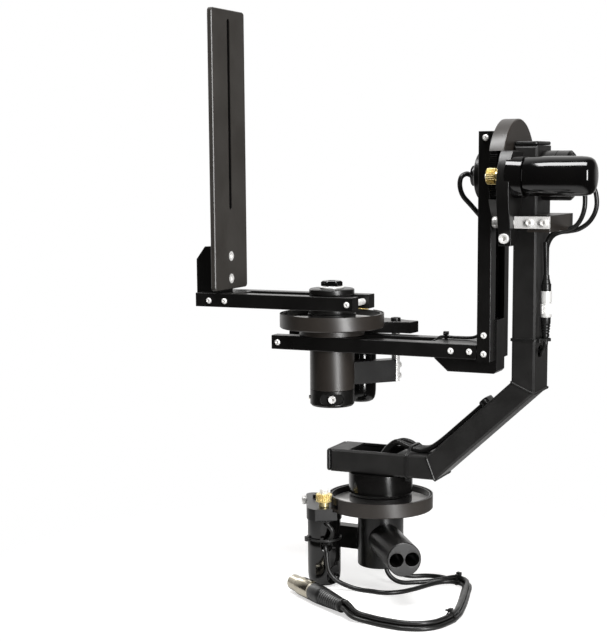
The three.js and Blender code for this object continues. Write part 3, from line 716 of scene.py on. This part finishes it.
def make_pinion(name, drive):
    """Brass pinion with its hub on the motor plate, and the end of the motor shaft above it."""
    place, seat = shifted(drive["at"], CENTRE), drive["seat"]
    foot, head = 8.5 - drive["drop"], 17.2 - drive["drop"]
    bm = bmesh.new()
    tip = PINION_TIP - 0.2 * drive["drop"]
    prism(bm, place, toothed(PINION_TEETH, tip - TOOTH, tip, math.pi + math.pi / PINION_TEETH), foot, head)
    turned(bm, place, [(0, seat), (5.8, seat), (5.8, foot - 0.1), (5.4, foot + 0.1), (0, foot + 0.1)], 48)
    turned(bm, place, [(0, head - 0.1), (5.4, head - 0.1), (5, head + 0.3), (0, head + 0.3)], 48)
    piece(f"{name}_pinion_gear", bm, f"{name}_pinion", "brass", [f"{name}_pinion"], 0.25)
    r, top = drive["shaft"]
    bm = bmesh.new()
    if name == "pan":
        splines, groove = 7, 1.6
        step = 2 * math.pi / splines
        spline = ((r - groove, -0.2), (r, -0.17), (r, 0.45), (r - groove, 0.48))
        turn = [(q, i * step + a) for i in range(splines) for q, a in spline]
        outline = [(q * math.cos(a), q * math.sin(a)) for q, a in turn]
        prism(bm, place, outline, head + 0.1, top)
    else:
        turned(bm, place, [(0, head), (r, head), (r, top - 0.4), (r - 0.4, top), (0, top)], 32)
    piece(f"{name}_motor_shaft_end", bm, f"{name}_pinion", "bright_steel", edge=0.2)


def make_drive_screws(name, drive):
    """Two screws with washers in the bracket's end plate, and the one that clamps the motor's plate."""
    body, reach, heights, radial = drive["outlet"]
    turn = PIVOT_TURN if radial else Matrix.Translation((0, PIVOT[1], 0))
    bm = bmesh.new()
    for z in heights:
        at = shifted(drive["at"] @ turn, reach, 0, z) @ Z_TO_X
        turned(bm, at, [(0, -0.2), (4.4, -0.2), (4.4, 0.5), (4.2, 0.7), (0, 0.7)], 36)
        cap_head(bm, shifted(at, z=0.7), 3.3, 2.9)
    piece(f"{name}_plate_screws", bm, body, "bright_steel", edge=0.15)
    bm = bmesh.new()
    cap_head(bm, shifted(drive["at"], 75, -60.5, -3.2 - 1.3 * drive["drop"]) @ Z_TO_X, 5, 4.4)
    piece(f"{name}_clamp_screw", bm, f"{name}_motor", "bright_steel", edge=0.2)


def make_clamp_bolt(name, place, z, lower, upper):
    """Silver washer and a black hexagon screw on the clamp disc whose top is at z."""
    bm = bmesh.new()
    turned(bm, shifted(place, z=z), [(0, 0.1), (13.2, 0.1), (13.4, 0.4), (13.4, 1.6), (12.6, 2.4),
                                     (0, 2.4)], 60)
    piece(f"{name}_clamp_washer", bm, f"{name}_rotor", "bright_steel", [f"{name}_clamp_bolt"], 0.15)
    bm = bmesh.new()
    turned(bm, place, [(0, lower), (11.7, lower, 1), (12, lower + 0.4, 1), (12, upper - 1.6, 1),
                       (10.2, upper), (5.4, upper), (4.7, upper - 0.5, 1), (4.6, upper - 6, 1),
                       (0, upper - 6)], 72)
    piece(f"{name}_clamp_screw_head", bm, f"{name}_rotor", "gloss_black", [f"{name}_clamp_bolt"], 0.25)


# ---- frame screws and through bolts ---------------------------------------------------------------
RAIL_OUT = 30.5  # outer faces of the rails, on either side of the middle
SCREW_R, SCREW_H = 3.3, 2.2


def make_frame_screws():
    """Button-head screws of the rails, the bolts through them with their spacers, and the plate's screws."""
    sets = {
        "frame_screws": ("tilt_frame", ((91.1, 246), (111.3, 246), (127, 263.6), (127, 244.3))),
        "camera_arm_screws": ("camera_arm", ((-195.6, 289), (-176, 289))),
    }
    for name, (body, spots) in sets.items():
        bm = bmesh.new()
        for x, z in spots:
            for s in (-1, 1):
                button_head(bm, aim((x, s * RAIL_OUT, z), (0, s, 0)), SCREW_R, SCREW_H)
        piece(name, bm, body, "bright_steel", edge=0.12)
    bolts = {"frame_top_bolt": ("tilt_frame", 127, 465), "frame_end_bolt": ("tilt_frame", -110, 245.8),
             "camera_arm_end_bolt": ("camera_arm", -27, 289.7)}
    for name, (body, x, z) in bolts.items():
        bm = bmesh.new()
        middle = aim((x, 0, z), (0, 1, 0))
        turned(bm, middle, [(0, -RAIL_OUT), (2.6, -RAIL_OUT), (2.6, -14.3), (3.6, -14.2), (3.6, 14.2),
                            (2.6, 14.3), (2.6, RAIL_OUT), (0, RAIL_OUT)], 32)
        for s in (-1, 1):
            button_head(bm, aim((x, s * RAIL_OUT, z), (0, s, 0)), SCREW_R, SCREW_H)
        piece(f"{name}_and_spacer", bm, body, "bright_steel", [name], 0.12)
    bm = bmesh.new()
    for z in (312, 337.4):
        turned(bm, aim((-182.3, 0, z), (1, 0, 0)), [
            (0, -3.2), (2.5, -3.2), (5.4, -0.5), (5.4, -0.2), (3, -0.2), (2.7, -0.3, 1), (2.6, -2, 1),
            (0, -2)], 36)
    piece("camera_plate_screws", bm, "camera_arm", "bright_steel")


def make_collar_screws():
    """Screws round the roll unit's lower collar and in the tilt unit's end."""
    roll_x, roll_z, tilt_end, ring = -58, 183.8, 209.7, 16.2
    bm = bmesh.new()
    for degrees, reach, r, h in ((-67, 19.6, 4.3, 3.6), (-153, 24.4, 2.2, 1.6), (100, 24.4, 2.2, 1.6)):
        out = Vector((math.cos(math.radians(degrees)), math.sin(math.radians(degrees)), 0))
        cap_head(bm, aim(Vector((roll_x, 0, roll_z)) + out * reach, out), r, h)
    piece("roll_collar_screws", bm, "roll_carriage", "bright_steel", edge=0.15)
    bm = bmesh.new()
    for degrees in (20, 140, 260):
        a = math.radians(degrees)
        cap_head(bm, aim((tilt_end, ring * math.cos(a), TILT_Z + ring * math.sin(a)), (1, 0, 0)), 2.6, 2.2)
    piece("tilt_collar_screws", bm, "arm", "bright_steel", edge=0.12)


# ---- arm: welds, cables, ties and the inline connector --------------------------------------------
ARM_Y, ARM_TUBE = 25, 25  # half the tube's width, and its height
ARM_LOW, POST_X = 105, 154.9  # the arm's underside and the post's inner face
POST_OUT = POST_X + ARM_TUBE
BEND_LOW, BEND_HIGH = 72.2, 205  # where the underside turns up, and where the post's outer face starts
SLOPE = math.atan2(BEND_HIGH - ARM_LOW, POST_OUT - BEND_LOW)
ARM_TOP = ARM_LOW + ARM_TUBE


def inner(x):
    """Height of the sloping part's upper face above x."""
    return ARM_TOP + (x - BEND_LOW + ARM_TUBE * math.tan(SLOPE / 2)) * math.tan(SLOPE)


def along(path, step):
    """Points of a closed path, about step apart."""
    out = []
    for a, b in zip(path, path[1:] + path[:1]):
        count = max(1, round((b - a).length / step))
        out += [a.lerp(b, i / count) for i in range(count)]
    return out


def make_welds():
    """Weld beads round the arm's two mitres."""
    high_miter = math.tan((math.pi / 2 - SLOPE) / 2)
    seams = {
        "weld_lower": ((BEND_LOW, ARM_LOW), (BEND_LOW - ARM_TUBE * math.tan(SLOPE / 2), ARM_TOP)),
        "weld_upper": ((POST_OUT, BEND_HIGH), (POST_X, BEND_HIGH + ARM_TUBE * high_miter)),
    }
    for name, ((ax, az), (bx, bz)) in seams.items():
        a, b = Vector((ax, 0, az)), Vector((bx, 0, bz))
        half = (b - a).length / 2
        up = (b - a).normalized()
        outline = rounded(-half, half, -ARM_Y, ARM_Y, 1.2, 3)
        ring = [(a + b) / 2 + up * u + Vector((0, v, 0)) for u, v in outline]
        bm = bmesh.new()
        swept(bm, [HEAD @ p for p in along(ring, 1.1)], 1.15 * MM, 8, closed=True, wobble=0.16)
        piece(name, bm, "arm", "powder_coat")


def make_arm_cables():
    """Three cables out of the arm's window and up its slope, into a grommet."""
    base_line = [(4, ARM_TOP - 6), (12, ARM_TOP + 4), (22, ARM_TOP + 9), (32, ARM_TOP + 7),
                 (42, ARM_TOP + 3.6), (56, ARM_TOP + 4), (72, inner(72) + 5), (98, inner(98) + 4.2),
                 (112, inner(112) + 4), (122, inner(122) + 4)]
    bm = bmesh.new()
    for k, y in enumerate((-7.4, 0, 7.4)):
        route = [(x, y * (0.75 if i < 2 else 1), z + 1.4 * math.sin(2.1 * k + i) * (1 < i < 4))
                 for i, (x, z) in enumerate(base_line)]
        swept(bm, smooth_path(route, 10), 2.9 * MM, 16)
    piece("arm_cables", bm, "arm", "black_rubber", ["arm_cable"])
    bm = bmesh.new()
    place = aim((124, 0, inner(124)), (-math.sin(SLOPE), 0, math.cos(SLOPE)), (0, 1, 0))
    prism(bm, place, rounded(-12.5, 12.5, -5.5, 5.5, 5.4, 10), 0.1, 7.6)
    piece("arm_cable_grommet", bm, "arm", "black_rubber", edge=1.6)


def make_ties():
    """Cable ties round the arm, the post, the pan motor cover and the frame cable."""
    bm = bmesh.new()
    under, top, y = ARM_LOW - 0.2, ARM_TOP + 0.2, ARM_Y + 0.2
    over = ARM_TOP + 6.9
    place = aim((40, 0, 0), (1, 0, 0), (0, 1, 0))  # X along +Y, Y along +Z
    strap(bm, place, [(-y, under + 1), (-y + 1, under), (y - 1, under), (y, under + 1), (y, top - 1),
                      (y - 1, top), (13, over - 1.4), (10, over), (-10, over), (-13, over - 1.4),
                      (-y + 1, top), (-y, top - 1)], 3.2)
    tie_head(bm, aim((40, -19, under - 0.6), (1, 0, 0), (0, 0, -1)), 5)
    piece("arm_tie", bm, "arm", "black_plastic", edge=0.2)
    bm = bmesh.new()
    x0, x1 = POST_X - 0.2, POST_OUT + 0.2
    place = aim((0, 0, 260), (0, 0, 1), (1, 0, 0))
    strap(bm, place, [(x0, -y + 1), (x0 + 1, -y), (x1 - 1, -y), (x1, -y + 1), (x1 + 0.2, -16.6),
                      (x1 + 8.6, -14.6), (x1 + 11.6, -11), (x1 + 9.6, -6.4), (x1 + 0.2, -1), (x1, y - 1),
                      (x1 - 1, y), (x0 + 1, y), (x0, y - 1)], 3)
    tie_head(bm, aim((x1 + 0.8, -19.6, 260), (0, 0, 1), (1, 0, 0)), 4.6)
    piece("post_tie", bm, "arm", "black_plastic", edge=0.2)
    bm = bmesh.new()
    place = shifted(PAN, CENTRE, 0, -31.5)
    strap(bm, place, circle(18.35), 2.6, 0.8)
    tie_head(bm, shifted(place @ Matrix.Rotation(math.radians(12), 4, "Z"), 18.8), 5.2)
    piece("pan_motor_tie", bm, "pan_motor", "black_plastic", edge=0.2)
    bm = bmesh.new()
    place = aim((72, 9, 255.5), (1, 0, 0), (0, 0, 1))
    strap(bm, place, circle(1.8, 24), 2.6, 0.8)
    tie_head(bm, shifted(place, 2.4), 5)
    piece("frame_cable_tie", bm, "tilt_frame", "black_plastic", edge=0.2)


def make_leads():
    """Smooth cables in place of the faceted ones, and the inline connector on the post."""
    frame_r, loom_r, rear_r, post_r = 2.6, 1.7, 2.4, 2.5
    bm = bmesh.new()
    swept(bm, smooth_path([
        (101.6, 0, 427), (97.5, -3, 428.5), (93.5, -8, 425), (92.6, -9, 416), (95, -6, 406), (101, 0, 397),
        (110, 6, 385), (123, 8, 370), (126.5, 8, 340), (126.5, 8, 304), (126.5, 8, 277)], 10),
        frame_r * MM, 16)
    swept(bm, smooth_path([
        (126.5, 8, 277), (122, 8, 281), (117, 8, 276), (113, 8.4, 265), (104, 9, 256.6), (84, 9, 255.4),
        (67, 9, 255.4), (60, 9, 251), (52, 9, 247.5), (44, 9, 246)], 10), loom_r * MM, 16)
    piece("frame_cable_jacket", bm, "tilt_frame", "black_rubber", ["frame_cable"])
    x = POST_OUT + 6.6
    bm = bmesh.new()
    swept(bm, smooth_path([
        (204.7, -3.6, 428), (210, -3.6, 428), (217, -2, 424), (221, 0, 414), (222, 1, 403), (221, 2, 392),
        (217, 4, 382), (211, 6, 375), (203, 6, 371.6), (195, 3, 370.6), (189.6, -3, 367), (187.2, -9, 361),
        (x, -13, 352)], 10), rear_r * MM, 16)
    swept(bm, smooth_path([
        (204.7, 3.8, 425), (211, 4, 425.5), (222, 5, 423), (230, 6, 413), (232.5, 7, 400), (230.5, 8, 389),
        (224, 9, 379), (214, 11, 372.4), (204, 11, 370), (196, 8, 369), (190, 2, 366), (187.4, -6, 360),
        (x, -12.6, 351)], 10), rear_r * MM, 16)
    piece("tilt_rear_lead_jackets", bm, "arm", "black_rubber", ["tilt_rear_leads"])
    bm = bmesh.new()
    below = [(POST_OUT - 1.5, -6, 247.5), (POST_OUT + 3, -8, 248), (x, -10, 254), (x, -10, 264)]
    above = [(x, -10, 323), (x, -11, 334), (x, -13, 346), (x, -14.5, 360)]
    for route in (below, above):
        swept(bm, smooth_path(route, 12), post_r * MM, 16)
    lower = [(0, 261.5), (2.9, 261.5), (3.3, 263)]
    for i in range(4):
        z, r = 264 + i * 3, 3.4 + i * 0.32
        lower += [(r, z), (r + 0.5, z + 0.5), (r + 0.5, z + 1.6), (r, z + 2.1)]
    place = aim((x, -10, 0), (0, 0, 1), (1, 0, 0))
    turned(bm, place, lower + [(5, 276.6), (5.1, 283), (0, 283)], 40)
    turned(bm, place, [(0, 310), (5, 310), (5.1, 317), (4.2, 318), (4.2, 319.4), (3.8, 320), (3.8, 321.4),
                       (3.3, 322), (3.1, 326), (0, 326)], 40)
    piece("inline_connector_boots", bm, "arm", "black_rubber", ["tilt_connector_lead"])
    bm = bmesh.new()
    turned(bm, place, [(0, 283.1), (5.5, 283.1), (5.8, 283.5), (5.8, 286.4), (5.5, 286.7), (5.5, 297),
                       (5.1, 297.4), (5.1, 298), (5.8, 298.3), (5.8, 309.5), (5.5, 309.9), (0, 309.9)], 48)
    prism(bm, place, toothed(26, 5.35, 5.85, 0), 287.2, 296.6)
    piece("inline_connector_barrel", bm, "arm", "bright_steel", ["tilt_connector_lead"], 0.12)
    bm = bmesh.new()
    lead = [(0, 9, -13), (0, 14, -12.6), (-0.6, 18.4, -13), (-2.4, 21.4, -14.6), (-4.8, 22.4, -17.4),
            (-6, 22, -21), (-5.6, 20.4, -25), (-3.8, 18, -28.6), (-1.8, 15, -31.6), (0, 12.4, -34.4),
            (1, 10, -36.6)]
    swept(bm, [PAN @ Vector((CENTRE + x, y, z)) for x, y, z in lead], CORD_R * MM, 16)
    piece("pan_motor_lead", bm, "pan_motor", "black_rubber")


def make_slot_painted_shade():
    """Thin black lining of the long slot in the camera plate: painted shade, a dark sheet over the slot's walls
    where shadow falls.
    """
    near, far = low("camera_plate").x, high("camera_plate").x
    place = aim((near, 0, 0), (1, 0, 0), (0, 1, 0))
    half, bottom, top, r = 3.35, 389.6, 599.6, 3.3
    wall, recess = 0.4, 0.8
    bm = bmesh.new()
    prism(bm, place, rounded(-half, half, bottom, top, r, 10), recess, far - near - recess)
    # a gloss black sheet over the slot's walls: painted shade
    slot_shade = new_object("camera_slot_lining", bm, "gloss_black")
    half, bottom, top, r = half - wall, bottom + wall, top - wall, r - wall
    bm = bmesh.new()
    prism(bm, place, rounded(-half, half, bottom, top, r, 10), -1, far - near + 1)
    cut(slot_shade, bm)
    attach(slot_shade, "camera_arm")


# ---- carried-over CAD nodes: fine materials, rounded edges -----------------------------------------
def smooth_group():
    """Geometry nodes that shade a mesh smooth and keep its crisp edges."""
    group = bpy.data.node_groups.new("shade_by_angle", "GeometryNodeTree")
    group.interface.new_socket("Geometry", in_out="INPUT", socket_type="NodeSocketGeometry")
    group.interface.new_socket("Geometry", in_out="OUTPUT", socket_type="NodeSocketGeometry")
    start, end = group.nodes.new("NodeGroupInput"), group.nodes.new("NodeGroupOutput")
    faces, edges = (group.nodes.new("GeometryNodeSetShadeSmooth") for _ in range(2))
    faces.domain, edges.domain = "FACE", "EDGE"
    angle = group.nodes.new("GeometryNodeInputMeshEdgeAngle")
    below = group.nodes.new("FunctionNodeCompare")
    below.data_type, below.operation = "FLOAT", "LESS_THAN"
    below.inputs["B"].default_value = SHARP
    group.links.new(start.outputs[0], faces.inputs["Geometry"])
    group.links.new(faces.outputs[0], edges.inputs["Geometry"])
    group.links.new(angle.outputs["Unsigned Angle"], below.inputs["A"])
    group.links.new(below.outputs["Result"], edges.inputs["Shade Smooth"])
    group.links.new(edges.outputs[0], end.inputs[0])
    return group


def dress_cad():
    """Gives every CAD node its fine material, rounded edges and smooth shading."""
    group = smooth_group()
    slots = {m["slot"]: m for m in frame["record"]["materials"]}
    for name, obj in frame["nodes"].items():
        slot = obj.data.materials[0].name.split(".")[0]
        assert slot in slots, (name, slot)
        obj.material_slots[0].material = OTHER_FINISH.get(name, MATERIALS[slot])
        weld = obj.modifiers.new("join", "WELD")
        weld.merge_threshold = 0.00001
        soften(obj, 0.2 if name == "camera_plate" else 0.45)
        obj.modifiers.new("shade", "NODES").node_group = group
        normals = obj.modifiers.new("normals", "WEIGHTED_NORMAL")
        normals.keep_sharp = True


# ---- floor, world and lights ----------------------------------------------------------------------
def make_floor():
    """A round pale floor; its own glow shows to the camera alone, so that gloss pieces don't mirror it."""
    glow_power, full_within, gone_at = 0.6, 0.24, 0.46  # the last two in metres
    bm = bmesh.new()
    place = HEAD @ Matrix.Translation((0, -30, FLOOR))
    turned(bm, place, [(500, 0), (300, 0), (150, 0), (0, 0)], 96)
    mesh = bpy.data.meshes.new("studio_floor")
    bm.to_mesh(mesh)
    bm.free()
    floor = bpy.data.objects.new("studio_floor", mesh)
    bpy.context.scene.collection.objects.link(floor)
    mat, tree, bsdf = shader("pale_floor", (0.6, 0.597, 0.593), 0.6, specular=0.2)
    vary_roughness(tree, bsdf, noise_node(tree, 8, 2), 0.55, 0.65)
    bsdf.inputs["Emission Color"].default_value = (1, 0.995, 0.99, 1)
    seen = tree.nodes.new("ShaderNodeLightPath")
    glow = tree.nodes.new("ShaderNodeMath")
    glow.operation = "MULTIPLY"
    glow.inputs[1].default_value = glow_power
    tree.links.new(seen.outputs["Is Camera Ray"], glow.inputs[0])
    tree.links.new(glow.outputs[0], bsdf.inputs["Emission Strength"])
    # the floor thins out with its own distance from the object, so that its edge doesn't show
    coord = tree.nodes.new("ShaderNodeTexCoord")
    away = tree.nodes.new("ShaderNodeVectorMath")
    away.operation = "DISTANCE"
    away.inputs[1].default_value = place.translation
    fade = tree.nodes.new("ShaderNodeMapRange")
    fade.interpolation_type = "SMOOTHSTEP"
    for socket, value in (("From Min", full_within), ("From Max", gone_at), ("To Min", 1), ("To Max", 0)):
        fade.inputs[socket].default_value = value
    tree.links.new(coord.outputs["Object"], away.inputs[0])
    tree.links.new(away.outputs["Value"], fade.inputs["Value"])
    tree.links.new(fade.outputs["Result"], bsdf.inputs["Alpha"])
    mesh.materials.append(mat)


def make_world():
    """White to the camera; the object sees white behind and above it and a dark room in front."""
    world = bpy.data.worlds.new("studio")
    world.use_nodes = True
    bpy.context.scene.world = world
    tree = world.node_tree
    tree.nodes.clear()
    out = tree.nodes.new("ShaderNodeOutputWorld")
    mix = tree.nodes.new("ShaderNodeMixShader")
    seen, felt = (tree.nodes.new("ShaderNodeBackground") for _ in range(2))
    seen.inputs["Color"].default_value = (1, 1, 1, 1)
    path = tree.nodes.new("ShaderNodeLightPath")
    coord = tree.nodes.new("ShaderNodeTexCoord")
    dot = tree.nodes.new("ShaderNodeVectorMath")
    dot.operation = "DOT_PRODUCT"
    dot.inputs[1].default_value = (-0.6, 0.72, 0.34)
    ramp = tree.nodes.new("ShaderNodeValToRGB")
    ramp.color_ramp.elements[0].position, ramp.color_ramp.elements[0].color = 0.45, (0.035, 0.033, 0.031, 1)
    ramp.color_ramp.elements[1].position, ramp.color_ramp.elements[1].color = 0.85, (1.0, 0.99, 0.98, 1)
    tree.links.new(coord.outputs["Generated"], dot.inputs[0])
    tree.links.new(dot.outputs["Value"], ramp.inputs["Fac"])
    tree.links.new(ramp.outputs["Color"], felt.inputs["Color"])
    tree.links.new(path.outputs["Is Camera Ray"], mix.inputs[0])
    tree.links.new(felt.outputs[0], mix.inputs[1])
    tree.links.new(seen.outputs[0], mix.inputs[2])
    tree.links.new(mix.outputs[0], out.inputs["Surface"])


def area_light(name, azimuth, elevation, distance, size, power, target=(0, 0, 300)):
    """A softbox aimed at target, in head millimetres; azimuth is in degrees from +X, in plan."""
    data = bpy.data.lights.new(name, "AREA")
    data.shape = "RECTANGLE"
    data.size, data.size_y = size
    data.energy = power
    obj = bpy.data.objects.new(name, data)
    at = HEAD @ Vector(target)
    a, e = math.radians(azimuth), math.radians(elevation)
    out = Vector((math.cos(a) * math.cos(e), math.sin(a) * math.cos(e), math.sin(e)))
    obj.location = at + out * distance
    obj.rotation_euler = out.to_track_quat("Z", "Y").to_euler()
    bpy.context.scene.collection.objects.link(obj)


def make_lights():
    area_light("key", -38, 8, 2.0, (0.42, 1.7), 55)
    area_light("overhead", -80, 74, 1.8, (1.4, 0.6), 42)
    area_light("rim", 150, 30, 2.2, (0.7, 1.4), 8)


make_camera()
make_cords()
make_bundle_ties()
for drive_name, drive_facts in DRIVES.items():
    make_cover(drive_name, drive_facts)
    make_pinion(drive_name, drive_facts)
    make_drive_screws(drive_name, drive_facts)
    make_drive_gear(drive_name, drive_facts)
make_pan_flange()
make_tilt_plate()
# darkens the camera plate's slot with a black lining: painted shade
make_slot_painted_shade()
make_pivot_plate("pan", DRIVES["pan"])
make_pivot_plate("roll", DRIVES["roll"])
make_clamp_bolt("roll", ROLL, 42.8, 45.3, 51.1)
make_clamp_bolt("tilt", TILT, 41.6, 44.1, 49.9)
make_frame_screws()
make_collar_screws()
make_welds()
make_arm_cables()
make_ties()
make_leads()
dress_cad()
make_floor()
make_world()
make_lights()
bpy.context.scene.view_settings.view_transform = "Standard"
